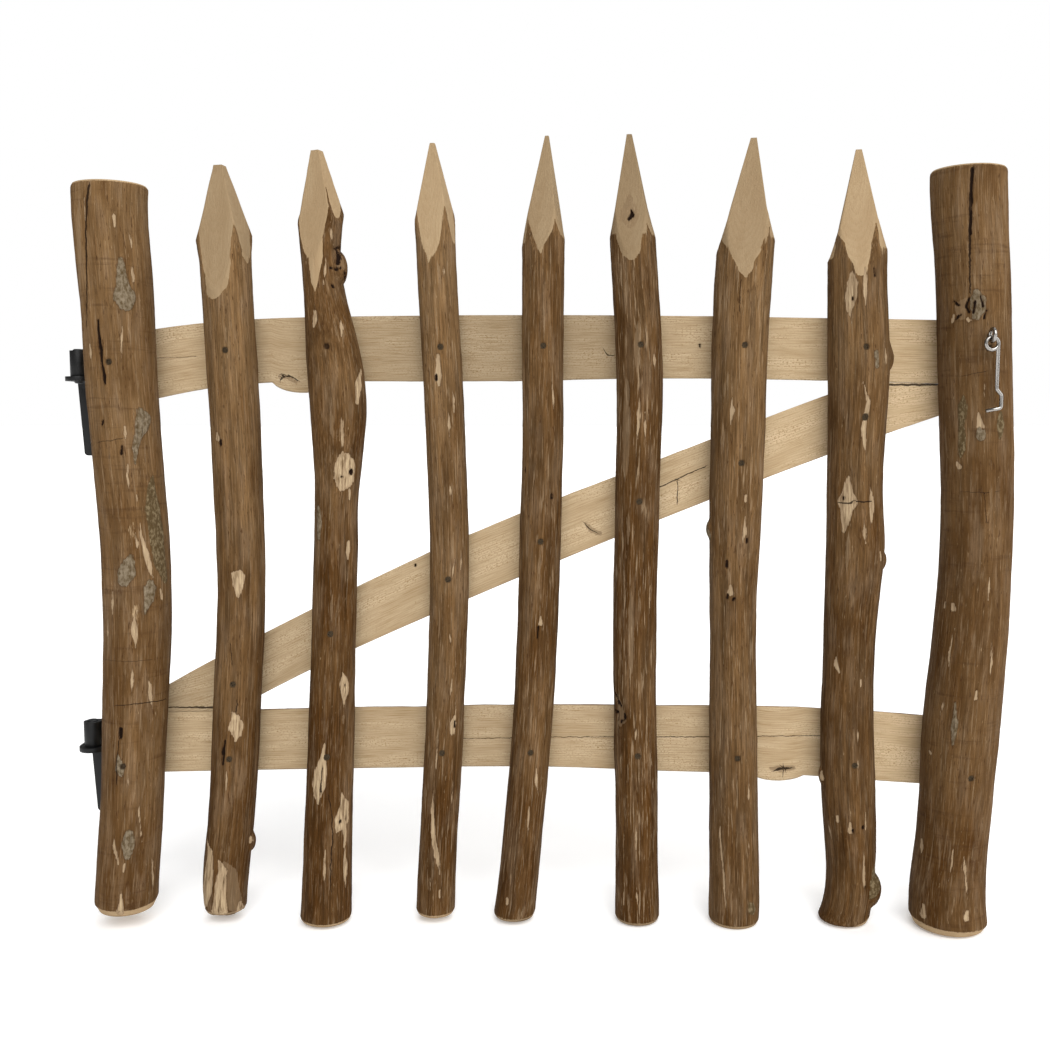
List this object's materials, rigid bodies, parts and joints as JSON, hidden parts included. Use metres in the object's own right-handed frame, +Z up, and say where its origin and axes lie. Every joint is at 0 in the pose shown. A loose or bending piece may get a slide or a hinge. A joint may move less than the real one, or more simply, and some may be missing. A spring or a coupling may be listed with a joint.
{
  "type": "wooden garden gate",
  "caption": "Pole gate leaf of round posts and pointed pickets on half-round rails with a diagonal brace, hung by strap hinges on screw-on pintles and closed by a wire hook.",
  "frame": {"origin": "midway between the two screw holes of the lower pintle plate, on the plate's back face", "axes": "+Z up along the hinge axis, +X from the hinges towards the latch, front of the gate faces -Y"},
  "size_m": [1.0254, 0.1455, 0.85],
  "materials": {
    "peeled_pole": "peeled inner bark, matt",
    "sawn_wood": "rough sawn, untreated",
    "black_iron": "matt black coating",
    "zinc_wire": "bright zinc plated",
    "screw_steel": "plated, dull"
  },
  "bodies": {
    "pintles": {"upper_pintle_plate": "black_iron", "upper_pintle_pin": "black_iron", "lower_pintle_plate": "black_iron", "lower_pintle_pin": "black_iron"},
    "gate_leaf": {"left_post": "peeled_pole", "right_post": "peeled_pole", "picket_1": "peeled_pole", "picket_2": "peeled_pole", "picket_3": "peeled_pole", "picket_4": "peeled_pole", "picket_5": "peeled_pole", "picket_6": "peeled_pole", "picket_7": "peeled_pole", "top_rail": "sawn_wood", "bottom_rail": "sawn_wood", "diagonal_brace": "sawn_wood", "upper_strap_hinge": "black_iron", "lower_strap_hinge": "black_iron", "strap_screws": "black_iron", "top_rail_screws": "screw_steel", "brace_screws": "screw_steel", "bottom_rail_screws": "screw_steel", "post_screws": "screw_steel", "latch_screw_eye": "zinc_wire"},
    "hook": {"latch_hook": "zinc_wire"}
  },
  "joints": [
    {"name": "gate_swing", "type": "hinge", "parent": "pintles", "child": "gate_leaf", "pos_m": [0, -0.037, 0], "axis": [0, 0, -1], "range_deg": [0, 100]},
    {"name": "hook_swing", "type": "hinge", "parent": "gate_leaf", "child": "hook", "pos_m": [0.96357, -0.13734, 0.494], "axis": [0, -1, 0], "range_deg": [-20, 110]}
  ]
}
